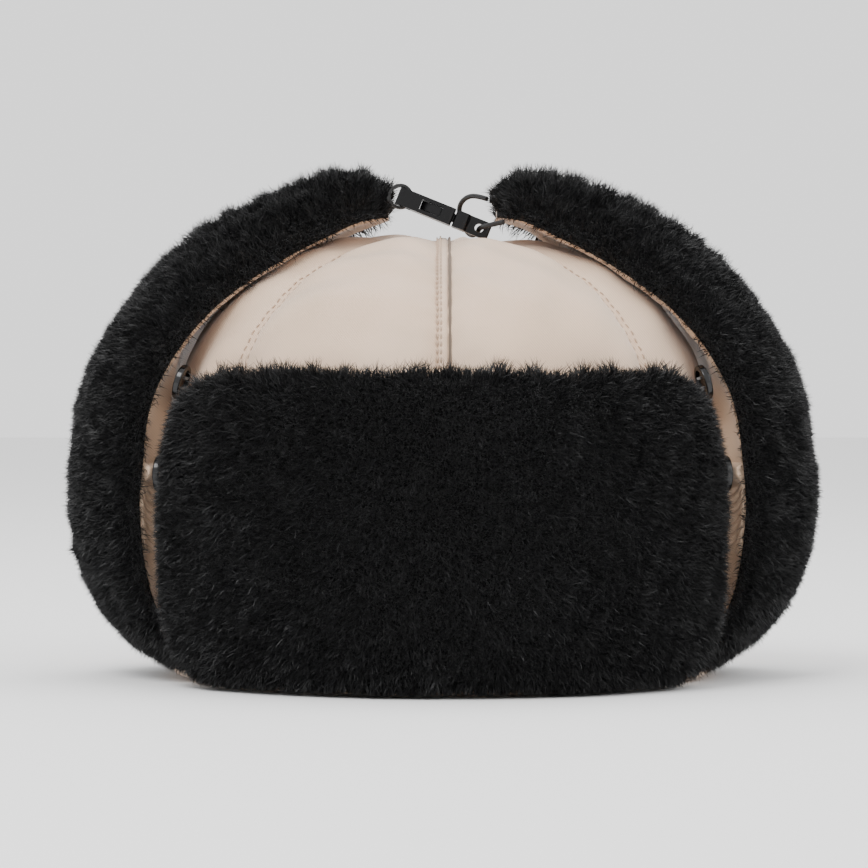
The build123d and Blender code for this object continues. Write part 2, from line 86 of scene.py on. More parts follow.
class HatSizes(bpy.types.PropertyGroup):
    """Sizes of the hat's cloth, plush, flaps and cord."""
    pile: bpy.props.FloatProperty(
        name="Pile length", description="Length of the plush pile", default=5.8 * MM, unit="LENGTH")
    pile_width: bpy.props.FloatProperty(
        name="Pile strand width", description="Width of one strand of pile at its root",
        default=0.34 * MM, precision=5, unit="LENGTH")
    strands: bpy.props.IntProperty(
        name="Strands per piece", description="Strands of pile in each fur piece", default=62000)
    puff: bpy.props.FloatProperty(
        name="Crown puff", description="How far the gores swell between their seams", default=4.5 * MM,
        unit="LENGTH")
    stitch: bpy.props.FloatProperty(
        name="Stitch length", description="Length of one topstitch", default=2.3 * MM, unit="LENGTH")
    thread: bpy.props.FloatProperty(
        name="Thread", description="Thickness of the sewing thread", default=0.55 * MM, precision=5,
        unit="LENGTH")
    cord: bpy.props.FloatProperty(
        name="Cord diameter", description="Thickness of the elastic cord", default=1.8 * MM, unit="LENGTH")
    ear_flap_width: bpy.props.FloatProperty(
        name="Ear flap width", description="Width of an ear flap where it is widest", default=106 * MM,
        unit="LENGTH")
    ear_flap_thickness: bpy.props.FloatProperty(
        name="Ear flap thickness", description="Thickness of an ear flap with its padding", default=24 * MM,
        unit="LENGTH")
    ear_flap_belly: bpy.props.FloatProperty(
        name="Ear flap belly", description="How far an ear flap bellies out from the crown", default=18 * MM,
        unit="LENGTH")
    neck_flap_width: bpy.props.FloatProperty(
        name="Neck flap width", description="Width of the neck flap where it is widest", default=132 * MM,
        unit="LENGTH")
    neck_flap_thickness: bpy.props.FloatProperty(
        name="Neck flap thickness", description="Thickness of the neck flap with its padding",
        default=18 * MM, unit="LENGTH")
    neck_flap_belly: bpy.props.FloatProperty(
        name="Neck flap belly", description="How far the neck flap bellies out from the crown",
        default=2.2 * MM, unit="LENGTH")
    front_flap_reach: bpy.props.FloatProperty(
        name="Front flap reach", description="How far round the rim the front flap reaches on each side",
        default=math.radians(62.5), subtype="ANGLE")
    front_flap_thickness: bpy.props.FloatProperty(
        name="Front flap thickness", description="Thickness of the front flap with its padding",
        default=14.5 * MM, unit="LENGTH")


class HatColours(bpy.types.PropertyGroup):
    """Colours of the hat's finishes."""
    nylon: bpy.props.FloatVectorProperty(
        name="Nylon", description="Cloth of the crown and the flaps' inner faces", subtype="COLOR", size=4,
        default=(0.57, 0.405, 0.285, 1))
    pile_dark: bpy.props.FloatVectorProperty(
        name="Pile, dark", description="Darkest strands of the plush", subtype="COLOR", size=4,
        default=(0.0016, 0.0016, 0.0018, 1))
    pile_light: bpy.props.FloatVectorProperty(
        name="Pile, light", description="Lightest strands of the plush", subtype="COLOR", size=4,
        default=(0.0105, 0.0105, 0.0115, 1))
    lining: bpy.props.FloatVectorProperty(
        name="Lining", description="Quilted satin inside the crown", subtype="COLOR", size=4,
        default=(0.035, 0.035, 0.04, 1))
    plastic: bpy.props.FloatVectorProperty(
        name="Plastic", description="Clip and buttons", subtype="COLOR", size=4,
        default=(0.0035, 0.0035, 0.004, 1))


# ---------------------------------------------------------------- materials

def new_material(name, colour, roughness, sheen=0.0, coat=0.0, specular=0.5):
    """A Principled material with its plain numbers set, its nodes and its shader."""
    material = bpy.data.materials.new(name)
    material.use_nodes = True
    shader = material.node_tree.nodes["Principled BSDF"]
    shader.inputs["Base Color"].default_value = colour
    shader.inputs["Roughness"].default_value = roughness
    shader.inputs["Sheen Weight"].default_value = sheen
    shader.inputs["Sheen Roughness"].default_value = 0.45
    shader.inputs["Coat Weight"].default_value = coat
    shader.inputs["Specular IOR Level"].default_value = specular
    return material, material.node_tree, shader


def shade(colour, factor):
    """A colour made darker or lighter by a factor."""
    return tuple(channel * factor for channel in colour[:3]) + (1,)


def woven(name, colour, thread_scale, roughness=0.5, sheen=0.3, contrast=0.10, bump=0.25, twill=True):
    """Cloth: diagonal twill or plain weave in colour and bump, with soft uneven patches."""
    material, tree, shader = new_material(name, colour, roughness, sheen)
    nodes, links = tree.nodes, tree.links
    place = nodes.new("ShaderNodeTexCoord")
    turned = nodes.new("ShaderNodeMapping")
    turned.inputs["Rotation"].default_value = (0.3, math.radians(38 if twill else 0), 0.2)
    links.new(place.outputs["Object"], turned.inputs["Vector"])
    threads = nodes.new("ShaderNodeTexWave")
    threads.inputs["Scale"].default_value = thread_scale
    threads.inputs["Distortion"].default_value = 0.6
    threads.inputs["Detail"].default_value = 1.0
    links.new(turned.outputs["Vector"], threads.inputs["Vector"])
    patches = nodes.new("ShaderNodeTexNoise")
    patches.inputs["Scale"].default_value = 38
    patches.inputs["Detail"].default_value = 5
    links.new(place.outputs["Object"], patches.inputs["Vector"])
    both = nodes.new("ShaderNodeMath")
    both.operation = "MULTIPLY_ADD"
    both.inputs[1].default_value = 0.45
    links.new(threads.outputs["Fac"], both.inputs[0])
    links.new(patches.outputs["Fac"], both.inputs[2])
    ramp = nodes.new("ShaderNodeValToRGB")
    ramp.color_ramp.elements[0].position = 0.3
    ramp.color_ramp.elements[0].color = shade(colour, 1 - contrast)
    ramp.color_ramp.elements[1].position = 0.95
    ramp.color_ramp.elements[1].color = shade(colour, 1 + contrast)
    links.new(both.outputs["Value"], ramp.inputs["Fac"])
    links.new(ramp.outputs["Color"], shader.inputs["Base Color"])
    relief = nodes.new("ShaderNodeBump")
    relief.inputs["Strength"].default_value = bump
    relief.inputs["Distance"].default_value = 0.15 * MM
    links.new(threads.outputs["Fac"], relief.inputs["Height"])
    links.new(relief.outputs["Normal"], shader.inputs["Normal"])
    return material


def moulded(name, colour, roughness, grain_scale=900, bump=0.12, coat=0.0, specular=0.5):
    """Injection moulded plastic with a fine grain and faint handling marks."""
    material, tree, shader = new_material(name, colour, roughness, 0.0, coat, specular)
    nodes, links = tree.nodes, tree.links
    place = nodes.new("ShaderNodeTexCoord")
    grain = nodes.new("ShaderNodeTexNoise")
    grain.inputs["Scale"].default_value = grain_scale
    grain.inputs["Detail"].default_value = 3
    links.new(place.outputs["Object"], grain.inputs["Vector"])
    marks = nodes.new("ShaderNodeTexNoise")
    marks.inputs["Scale"].default_value = 160
    marks.inputs["Detail"].default_value = 6
    links.new(place.outputs["Object"], marks.inputs["Vector"])
    spread = nodes.new("ShaderNodeMapRange")
    spread.inputs["To Min"].default_value = roughness - 0.08
    spread.inputs["To Max"].default_value = roughness + 0.12
    links.new(marks.outputs["Fac"], spread.inputs["Value"])
    links.new(spread.outputs["Result"], shader.inputs["Roughness"])
    relief = nodes.new("ShaderNodeBump")
    relief.inputs["Strength"].default_value = bump
    relief.inputs["Distance"].default_value = 0.05 * MM
    links.new(grain.outputs["Fac"], relief.inputs["Height"])
    links.new(relief.outputs["Normal"], shader.inputs["Normal"])
    return material


def pile_shades(colours):
    """Five plain shades of plush, from dark to light: each strand takes one."""
    dark, light = np.array(colours.pile_dark[:3]), np.array(colours.pile_light[:3])
    shades = []
    for number in range(5):
        tone = tuple(dark + (light - dark) * (number / 4) ** 1.4) + (1,)
        material, _, _ = new_material(f"plush_{number}", tone, 0.46, sheen=0.06)
        shades.append(material)
    return shades


FINISHES = {}


def finish(name):
    """A named finish, made on first use from the hat's colours."""
    colours = bpy.context.scene.hat_colours
    if name not in FINISHES:
        makers = {
            "nylon": lambda: woven("nylon", colours.nylon, 480, 0.46, 0.30, 0.11, 0.38),
            "nylon_thread": lambda: woven("nylon_thread", shade(colours.nylon, 0.80), 1500, 0.6, 0.2, 0.15,
                                          0.4),
            # Painted seam shadow: the nylon darkened to near black, standing in for the shade in the seam
            # beside the welt.
            "painted_seam_shade": lambda: woven("painted_seam_shade", shade(colours.nylon, 0.22), 1500, 0.8, 0.1, 0.15, 0.4),
            "pile": lambda: pile_shades(colours),
            "pelt": lambda: woven("pelt", shade(colours.pile_dark, 0.8), 700, 0.9, 0.1, 0.4, 0.8, False),
            "lining": lambda: woven("lining", colours.lining, 1200, 0.36, 0.5, 0.2, 0.25),
            "band": lambda: woven("band", shade(colours.lining, 0.7), 800, 0.6, 0.3, 0.3, 0.6, False),
            "webbing": lambda: woven("webbing", (0.006, 0.006, 0.0065, 1), 650, 0.6, 0.08, 0.5, 0.9, False),
            "clip": lambda: moulded("clip", colours.plastic, 0.26, specular=0.22),
            "cord": lambda: woven("cord", (0.004, 0.004, 0.0045, 1), 1800, 0.5, 0.04, 0.5, 0.8),
            "button": lambda: moulded("button", colours.plastic, 0.16, 500, 0.05, 0.25, 0.3),
            "thread": lambda: woven("thread", (0.02, 0.02, 0.021, 1), 2500, 0.45, 0.5, 0.5, 0.8, False),
        }
        FINISHES[name] = makers[name]()
    return FINISHES[name]


# ---------------------------------------------------------------- meshes

def piece(name, points, faces, material, smooth=True):
    """A mesh object from points and faces, shaded smooth, wearing one material."""
    mesh = bpy.data.meshes.new(name)
    mesh.from_pydata(np.asarray(points, float).reshape(-1, 3).tolist(), [], faces)
    mesh.polygons.foreach_set("use_smooth", [smooth] * len(mesh.polygons))
    made = bpy.data.objects.new(name, mesh)
    bpy.context.scene.collection.objects.link(made)
    made.data.materials.append(material)
    return made


def grid_faces(rows, columns, round_columns=False, start=0):
    """Quads between the neighbours of a grid of points."""
    faces = []
    for row in range(rows - 1):
        here, above = start + row * columns, start + (row + 1) * columns
        for column in range(columns if round_columns else columns - 1):
            after = (column + 1) % columns
            faces.append((here + column, here + after, above + after, above + column))
    return faces


def grid_piece(name, points, material, round_columns=False):
    """A sheet through a grid of points."""
    rows, columns = points.shape[:2]
    return piece(name, points, grid_faces(rows, columns, round_columns), material)


def waves(places, seed, lengths):
    """Soft uneven waves over places, as one number each: sums of sines with set wavelengths."""
    dice = np.random.default_rng(seed)
    total = np.zeros(places.shape[:-1])
    for length in lengths:
        for _ in range(3):
            way = dice.normal(size=3)
            way /= np.linalg.norm(way)
            total += np.sin(places @ way * (2 * math.pi / length) + dice.uniform(0, 6.28))
    return total / (3 * len(lengths)) ** 0.5


def grid_normals(points, round_columns=False):
    """Unit normals of a grid of points."""
    along = np.gradient(points, axis=0)
    if round_columns:
        across = (np.roll(points, -1, axis=1) - np.roll(points, 1, axis=1)) / 2
    else:
        across = np.gradient(points, axis=1)
    normals = np.cross(across, along)
    return normals / np.maximum(np.linalg.norm(normals, axis=-1, keepdims=True), 1e-12)


def smooth_step(value, low, high):
    """0 below low, 1 above high, and an eased rise between them."""
    share = np.clip((value - low) / (high - low), 0, 1)
    return share * share * (3 - 2 * share)


def stitches(name, line, normals, spacing):
    """A row of sewn stitches lying along a line of points."""
    sizes = bpy.context.scene.hat_sizes
    length, thick = sizes.stitch, sizes.thread
    steps = np.linalg.norm(np.diff(line, axis=0), axis=1)
    travel = np.concatenate([[0], np.cumsum(steps)])
    points, faces = [], []
    for middle in np.arange(spacing / 2, travel[-1] - spacing / 2, spacing):
        ends = [np.array([np.interp(at, travel, line[:, axis]) for axis in range(3)])
                for at in (middle - length / 2, middle, middle + length / 2)]
        up = np.array([np.interp(middle, travel, normals[:, axis]) for axis in range(3)])
        along = ends[2] - ends[0]
        side = np.cross(along, up)
        side /= max(np.linalg.norm(side), 1e-12)
        start = len(points)
        for place, lift, wide in ((ends[0], -0.5, 0.35), (ends[0] * 0.7 + ends[1] * 0.3, 0.25, 0.9),
                                  (ends[1], 0.45, 1.0), (ends[2] * 0.7 + ends[1] * 0.3, 0.25, 0.9),
                                  (ends[2], -0.5, 0.35)):
            for turn in range(6):
                angle = turn * math.pi / 3
                points.append(place + up * thick * (lift + 0.5 * wide * math.sin(angle))
                              + side * thick * 0.5 * wide * math.cos(angle))
        faces += grid_faces(5, 6, True, start)
    return piece(name, points, faces, finish("nylon_thread"))


# ---------------------------------------------------------------- crown

def crown_side(reach, way):
    """Points of the crown's outline (out, up) and its outward normals at ways: 0 to 1 wall, 1 to 2 dome."""
    way = np.asarray(way, float)
    turn = np.radians(90 * np.clip(way - 1, 0, 1))
    rise = CROWN_HEIGHT - WALL_HEIGHT
    out = np.maximum(np.cos(turn), 1e-9) ** (2 / DOME_POWER)
    up = np.maximum(np.sin(turn), 0) ** (2 / DOME_POWER)
    slope_out, slope_up = out ** (DOME_POWER - 1) / reach, up ** (DOME_POWER - 1) / rise
    size = np.hypot(slope_out, slope_up)
    height = np.where(way <= 1, way * WALL_HEIGHT, WALL_HEIGHT + rise * up)
    return reach * out, height, slope_out / size, slope_up / size


def crown_surface(angles, ways, inset=0.0, puff=0.0):
    """Points and normals over the crown for oval angles in degrees and ways, swelling between seams."""
    angle, way = np.meshgrid(np.radians(angles), ways)
    out, height, n_out, n_up = crown_side(HALF_WIDTH, way)
    normals = np.stack([n_out * np.cos(angle), n_out * np.sin(angle) * HALF_WIDTH / HALF_DEPTH, n_up],
                       axis=-1)
    normals /= np.linalg.norm(normals, axis=-1, keepdims=True)
    points = np.stack([out * np.cos(angle), out * np.sin(angle) * HALF_DEPTH / HALF_WIDTH, height], axis=-1)
    degrees = np.degrees(angle)
    nearest = np.abs(degrees[..., None] - SEAMS).min(axis=-1)
    across = np.radians(nearest) * np.hypot(points[..., 0], points[..., 1])
    swell = puff * (1 - np.exp(-(across / (8 * MM)) ** 1.3)) * smooth_step(way, 0.75, 1.2)
    groove = -0.9 * MM * np.exp(-(across / (1.3 * MM)) ** 2)
    climb = way * 75 * MM
    pucker = 0.26 * MM * np.sin(climb * 2 * math.pi / (5.5 * MM)) * np.exp(-across / (6 * MM))
    held = 0.75 * np.exp(-(across / (9 * MM)) ** 2)
    drape = 0.95 * MM * waves(points, 5, (21 * MM, 46 * MM)) * (1 - held)
    clip_seat = np.exp(-((points[..., 0] - 12 * MM) ** 2 + (points[..., 1] + 12 * MM) ** 2) / (24 * MM) ** 2)
    flattened = 1 - clip_seat * smooth_step(way, 1.5, 1.7)
    lift = (swell + groove + pucker + drape) * flattened if puff > 0 else 0
    fade = smooth_step(way, 0.03, 0.2)
    return points + normals * (np.asarray(lift * fade)[..., None] - inset), normals


class HAT_OT_crown(bpy.types.Operator):
    """Six puffed nylon gores with their seams, welt and topstitching"""
    bl_idname = "hat.crown"
    bl_label = "Crown"

    def execute(self, context):
        sizes = context.scene.hat_sizes
        ways = np.concatenate([np.linspace(0.03, 1, 50), np.linspace(1.01, 1.995, 90)])
        for name, first, last in zip(GORES, SEAMS, SEAMS[1:]):
            points, _ = crown_surface(np.linspace(first, last, 64), ways, puff=sizes.puff)
            gore = grid_piece(f"nylon_gore_{name}", points, finish("nylon"))
            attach(gore, "crown")
            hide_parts(f"crown_gore_{name}")
        self.welt(sizes)
        for name, angle in (("front_left", -90 + SIDE_SEAM_ANGLE), ("front_right", 270 - SIDE_SEAM_ANGLE),
                            ("back_left", 90 - SIDE_SEAM_ANGLE), ("back_right", 90 + SIDE_SEAM_ANGLE)):
            for shift in (-1.3, 1.3):
                line, up = crown_surface(np.array([angle + shift]), np.linspace(0.1, 1.9, 160),
                                         puff=sizes.puff)
                row = stitches(f"seam_stitches_{name}_{'a' if shift < 0 else 'b'}", line[:, 0], up[:, 0],
                               3.2 * MM)
                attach(row, "crown")
        return {"FINISHED"}

    def welt(self, sizes):
        """The raised strip over the middle seam, front to back, a dark strip of painted seam shadow beside
        it, and the stitching beside it.
        """
        climb = np.linspace(0.12, 1.99, 220)
        spans = []
        for angle in (-90, 90):
            middle, up = crown_surface(np.array([float(angle)]), climb)
            spans.append((middle[:, 0], up[:, 0]))
        line = np.concatenate([spans[0][0], spans[1][0][::-1]])
        up = np.concatenate([spans[0][1], spans[1][1][::-1]])
        side = np.array([1.0, 0, 0])
        ripple = 0.12 * MM * np.sin(np.arange(len(line)) * 0.9)
        profile = [(-2.0, -0.9), (-1.85, 0.5), (-1.3, 1.15), (0, 1.3), (1.3, 1.15), (1.85, 0.5), (2.0, -0.9)]
        rows = np.stack([line + side * x * MM + up * (z * MM + ripple[:, None]) for x, z in profile], axis=1)
        welt = grid_piece("crown_seam_welt", rows, finish("nylon"))
        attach(welt, "crown")
        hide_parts("crown_welt")
        # A near-black cloth strip beside the welt: painted seam shadow, where the seam line lies in shade.
        section = ((1.9, 0.9), (2.2, 1.5), (2.6, 1.75), (2.9, 1.4))
        rows = np.stack([line + side * x * MM + up * z * MM for x, z in section], axis=1)
        painted_seam_shade = grid_piece("welt_painted_seam_shade", rows, finish("painted_seam_shade"))
        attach(painted_seam_shade, "crown")
        for number, (x, lift) in enumerate(((-1.9, 1.0), (-0.7, 1.5))):
            row = stitches(f"welt_stitches_{number}", line + side * x * MM + up * lift * MM, up, 3.1 * MM)
            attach(row, "crown")


class HAT_OT_inside(bpy.types.Operator):
    """Quilted lining, sweatband and rim binding"""
    bl_idname = "hat.inside"
    bl_label = "Inside and rim"

    def execute(self, context):
        ways = np.concatenate([np.linspace(0.035, 1, 60), np.linspace(1.01, 1.995, 100)])
        angles = np.linspace(0, 360, 289)[:-1]
        points, normals = crown_surface(angles, ways, inset=8 * MM)
        angle, way = np.meshgrid(angles, ways)
        slant, climb = np.radians(angle * 6), way * 7.5
        diamonds = np.abs(np.sin(slant + climb) * np.sin(slant - climb))
        points = points + normals * (1.8 * MM * (1 - diamonds ** 0.35) - 0.6 * MM)[..., None]
        lining = grid_piece("quilted_lining", points[:, ::-1], finish("lining"), True)
        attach(lining, "crown")
        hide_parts("crown_lining", "crown_wadding")
        self.band(angles)
        self.binding(angles)
        return {"FINISHED"}

    def band(self, angles):
        """The sweatband: a soft band that gathers a little along its top."""
        rows = []
        for inset, height in ((7.9, 30.0), (8.6, 30.8), (9.4, 30.2), (9.7, 22.0), (9.6, 12.0), (9.5, 3.0)):
            ring, normals = crown_surface(angles, np.array([height * MM / WALL_HEIGHT]), inset=inset * MM)
            gather = 0.25 * MM * np.sin(np.radians(angles) * 90) * (height / 30)
            rows.append(ring[0] + normals[0] * gather[:, None])
        band = grid_piece("sweatband_cloth", np.array(rows), finish("band"), True)
        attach(band, "crown")
        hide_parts("sweatband")

    def binding(self, angles):
        """Tape folded round the lower edges, and its stitching."""
        rows = []
        section = ((1.15, 9.2), (1.25, 8.6), (1.2, 2.0), (0.9, 0.7), (0.0, 0.05), (-4.5, 0.0), (-9.0, 0.05),
                   (-10.0, 0.7), (-10.2, 2.0), (-10.2, 8.4), (-9.8, 9.2))
        for out, height in section:
            angle = np.radians(angles)
            wrinkle = 0.1 * np.sin(angle * 150) * (height > 1)
            rows.append(np.stack([(HALF_WIDTH + (out + wrinkle) * MM) * np.cos(angle),
                                  (HALF_DEPTH + (out + wrinkle) * MM) * np.sin(angle),
                                  np.full_like(angle, height * MM)], axis=-1))
        binding = grid_piece("rim_tape", np.array(rows), finish("nylon"), True)
        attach(binding, "crown")
        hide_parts("rim_binding")
        outside = np.array(rows[1]) * np.array([1, 1, 0]) + np.array([0, 0, 7.4 * MM])
        outward = outside / np.linalg.norm(outside, axis=1, keepdims=True)
        row = stitches("rim_tape_stitches", np.vstack([outside, outside[:1]]),
                       np.vstack([outward, outward[:1]]), 3.4 * MM)
        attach(row, "crown")


# ---------------------------------------------------------------- flaps

def between(stops, steps):
    """Smooth values between a flap's stops, at even steps of their number."""
    at = np.linspace(0, len(stops) - 1, steps)
    low = np.clip(at.astype(int), 0, len(stops) - 2)
    share = (at - low)[:, None]
    before, after = stops[np.clip(low - 1, 0, None)], stops[np.clip(low + 2, None, len(stops) - 1)]
    first, second = stops[low], stops[low + 1]
    return first + 0.5 * share * (second - before + share * (
        2 * before - 5 * first + 4 * second - after + share * (3 * (first - second) + after - before)))


def depth_to_crown(points, normal):
    """How far along a normal the crown's surface lies from each point, by halving."""
    low, high = np.full(len(points), -0.07), np.full(len(points), 0.03)
    for _ in range(18):
        middle = (low + high) / 2
        at = points + normal * middle[:, None]
        out = np.hypot(at[:, 0] / HALF_WIDTH, at[:, 1] / HALF_DEPTH)
        rise = np.maximum(at[:, 2] - WALL_HEIGHT, 0) / (CROWN_HEIGHT - WALL_HEIGHT)
        outside = out ** DOME_POWER + rise ** DOME_POWER > 1
        high = np.where(outside, middle, high)
        low = np.where(outside, low, middle)
    return (low + high) / 2


def flap_grid(outward, reach, stops, width, thickness, belly, rows, around, inset=0.0, front=0):
    """The closed skin of a flap as a grid: rows from its foot to its tip, points round its section.

    front is the side, -1 or 1 across, whose edge opens towards the front, or 0: behind it the padding
    fills the hollow down to the crown."""
    out = np.array(outward, float)
    up = np.array([0.0, 0, 1])
    side = np.cross(up, out)
    turn = np.linspace(0, 2 * math.pi, around, endpoint=False)
    # A boxy superellipse: the first half of the turn is the outer face, the second the inner one.
    across = np.sign(np.cos(turn)) * np.abs(np.cos(turn)) ** 0.55
    depth = np.sign(np.sin(turn)) * np.abs(np.sin(turn)) ** 0.50
    skin = []
    for way, belly_share, thick_share, width_share, bow in between(stops, rows):
        out_at, height, n_out, n_up = (float(value) for value in crown_side(reach, way))
        gap = FLAP_SEAT + belly_share * belly
        normal = out * n_out + up * n_up
        origin = out * (out_at + gap * n_out) + up * (height + gap * n_up)
        half, thick = width * width_share / 2 - inset, thickness * thick_share
        fall = bow * MM * across ** 2
        outer = np.maximum(thick * (1 - 0.35 * across ** 2) - inset, 2.5 * MM) - fall
        inner = -fall
        if front:
            clear = 2.2 * MM + 4.5 * MM * smooth_step(way, 0.7, 1.2)
            crown = depth_to_crown(origin + side * (across * half)[:, None], normal) + clear
            filled = (1 - smooth_step(across * front, 0.66, 0.98)) * (1 - smooth_step(way, 1.05, 1.4))
            inner = inner + np.minimum(crown - inner, 0) * filled
            thinned = smooth_step(-across * front, 0.3, 1) * 0.7 * (1 - smooth_step(way, 0.85, 1.25))
            outer = outer - np.maximum(outer - crown - 15 * MM, 0) * thinned
        skin.append(origin + side * (across * half)[:, None]
                    + normal * ((outer + inner) / 2 + (outer - inner) / 2 * depth)[:, None])
    skin = np.array(skin)
    place = np.where(np.sin(turn) >= -1e-9, across, np.sign(across) * (2 - np.abs(across)))
    return skin, place


def resample(grid, rows, columns):
    """A grid's values at fractional rows and columns."""
    row, column = np.meshgrid(rows, columns, indexing="ij")
    r, c = np.clip(row.astype(int), 0, grid.shape[0] - 2), np.clip(column.astype(int), 0, grid.shape[1] - 2)
    u, v = (row - r)[..., None], (column - c)[..., None]
    return ((1 - u) * (1 - v) * grid[r, c] + (1 - u) * v * grid[r, c + 1]
            + u * v * grid[r + 1, c + 1] + u * (1 - v) * grid[r + 1, c])


def close_ends(skin):
    """Rounds a grid's first and last rows to the line between their two faces, so that the skin is closed."""
    def drawn_in(ring, shares):
        middle = (ring + np.roll(ring[::-1], 1, axis=0)) / 2
        return [middle + (ring - middle) * share for share in shares]

    return np.concatenate([drawn_in(skin[0], (0.02, 0.5, 0.85)), skin, drawn_in(skin[-1], (0.88, 0.5, 0.02))])


def strand_roots(points, normals, keep, count, dice):
    """Random roots over a grid's kept cells, evenly by area: their places and normals."""
    a, b, c, d = points[:-1, :-1], points[:-1, 1:], points[1:, 1:], points[1:, :-1]
    area = np.linalg.norm(np.cross(c - a, d - b), axis=-1) / 2 * keep
    chance = area.ravel() / area.sum()
    cells = dice.choice(chance.size, size=count, p=chance)
    row, column = np.divmod(cells, area.shape[1])
    u, v = dice.random(count)[:, None], dice.random(count)[:, None]

    def blend(grid):
        return ((1 - u) * (1 - v) * grid[row, column] + u * (1 - v) * grid[row, column + 1]
                + u * v * grid[row + 1, column + 1] + (1 - u) * v * grid[row + 1, column])

    up = blend(normals)
    up /= np.linalg.norm(up, axis=1, keepdims=True)
    return blend(points), up


def pile(name, roots, up, comb, seed, tufts):
    """Plush as tapered strands: clumped, combed and curling, each strand in one of five plain shades.

    comb is the way the whole pelt is combed, and tufts lengthens each strand by its own factor."""
    sizes = bpy.context.scene.hat_sizes
    dice = np.random.default_rng(seed)
    count = len(roots)
    clump = waves(roots, seed, (4 * MM, 7 * MM, 12 * MM))
    ways = np.stack([waves(roots, seed + 10 + axis, (6 * MM, 10 * MM, 21 * MM)) for axis in range(3)],
                    axis=-1)
    lean = comb * 0.34 + ways * 0.24 + dice.normal(0, 0.26, (count, 3))
    lean -= up * np.sum(lean * up, axis=1, keepdims=True) * 0.7
    tall = sizes.pile * (0.80 + 0.13 * clump + dice.normal(0, 0.10, count)) * tufts
    tall = np.clip(tall, sizes.pile * 0.25, sizes.pile * 1.5)[:, None]
    way = up + lean * 0.55
    way /= np.linalg.norm(way, axis=1, keepdims=True)
    bent = up * 0.55 + lean
    bent /= np.linalg.norm(bent, axis=1, keepdims=True)
    face = np.cross(way, dice.normal(size=(count, 3)))
    face /= np.maximum(np.linalg.norm(face, axis=1, keepdims=True), 1e-9)
    half = sizes.pile_width / 2 * (0.7 + 0.6 * dice.random(count))[:, None]
    middle = roots + way * tall * 0.52
    tip = middle + bent * tall * 0.48
    for joint in (middle, tip):
        joint[:, 2] = np.maximum(joint[:, 2], 0.4 * MM)
    points = np.stack([roots - face * half, roots + face * half, middle + face * half * 0.72,
                       middle - face * half * 0.72, tip], axis=1).reshape(-1, 3)
    base = np.arange(count) * 5
    corners = np.stack([base, base + 1, base + 2, base + 3, base + 3, base + 2, base + 4], axis=1).ravel()
    mesh = bpy.data.meshes.new(name)
    mesh.vertices.add(len(points))
    mesh.vertices.foreach_set("co", points.ravel())
    mesh.loops.add(len(corners))
    mesh.loops.foreach_set("vertex_index", corners)
    starts = np.stack([np.arange(count) * 7, np.arange(count) * 7 + 4], axis=1).ravel()
    mesh.polygons.add(count * 2)
    mesh.polygons.foreach_set("loop_start", starts)
    mesh.polygons.foreach_set("use_smooth", np.ones(count * 2, bool))
    for material in finish("pile"):
        mesh.materials.append(material)
    patch = waves(roots, seed + 30, (16 * MM, 34 * MM))
    shade_at = np.round(1.6 + patch * 0.8 + clump * 0.3 + dice.normal(0, 1.0, count))
    mesh.polygons.foreach_set("material_index", np.repeat(np.clip(shade_at, 0, 4).astype(int), 2))
    mesh.update(calc_edges=True)
    mesh.validate()
    made = bpy.data.objects.new(name, mesh)
    bpy.context.scene.collection.objects.link(made)
    return made


def plush_flap(body, name, skin, place, nodes, seed, comb, band, pieces=2):
    """A padded flap: its closed nylon skin, a pelt over its outer face and the plush strands on it.

    band(place, row share) says how much plush a spot carries, from 0, bare nylon, to 1."""
    sizes = bpy.context.scene.hat_sizes
    rest = 0.45 * MM * waves(skin, seed, (14 * MM, 30 * MM, 60 * MM))
    normals = grid_normals(skin, True)
    if np.sum((skin - skin.mean(axis=1, keepdims=True)) * normals) < 0:
        normals = -normals
    skin = skin + normals * rest[..., None]
    rows, around = skin.shape[:2]
    share = np.linspace(0, 1, rows)[:, None] * np.ones((1, around))
    amount = band(place[None, :] * np.ones((rows, 1)), share)
    padding = grid_piece(f"{name}_nylon", close_ends(skin), finish("nylon"), True)
    if padding.data.polygons[len(padding.data.polygons) // 2].normal.dot(
            Vector(normals[rows // 2, around // 2])) < 0:
        padding.data.flip_normals()
    padding.data.materials.append(finish("pelt"))
    full = np.concatenate([np.repeat(amount[:1], 3, 0), amount, np.repeat(amount[-1:], 3, 0)])
    beside = np.roll(full, -1, 1)
    least = np.minimum(np.minimum(full[:-1], full[1:]), np.minimum(beside[:-1], beside[1:]))
    padding.data.polygons.foreach_set("material_index", (least > 0.25).astype(int).ravel())
    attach(padding, body)
    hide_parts(*nodes)
    wrap = np.concatenate([skin, skin[:, :1]], axis=1)
    wrap_normals = np.concatenate([normals, normals[:, :1]], axis=1)
    wrap_amount = np.concatenate([amount, amount[:, :1]], axis=1)
    dice = np.random.default_rng(seed)
    keep = (wrap_amount[:-1, :-1] + wrap_amount[1:, 1:]) / 2
    roots, up = strand_roots(wrap, wrap_normals, keep, sizes.strands * pieces, dice)
    roots = roots + up * 0.1 * MM
    for number in range(pieces):
        part = slice(number, None, pieces)
        tufted = waves(roots[part], seed, (9 * MM,)) > 0.3
        tufts = 1 + 0.55 * smooth_step(up[part][:, 2], 0.55, 0.9) * tufted
        strands = pile(f"{name}_plush_{number}", roots[part], up[part], np.array(comb), seed + number, tufts)
        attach(strands, body)
    return skin, normals


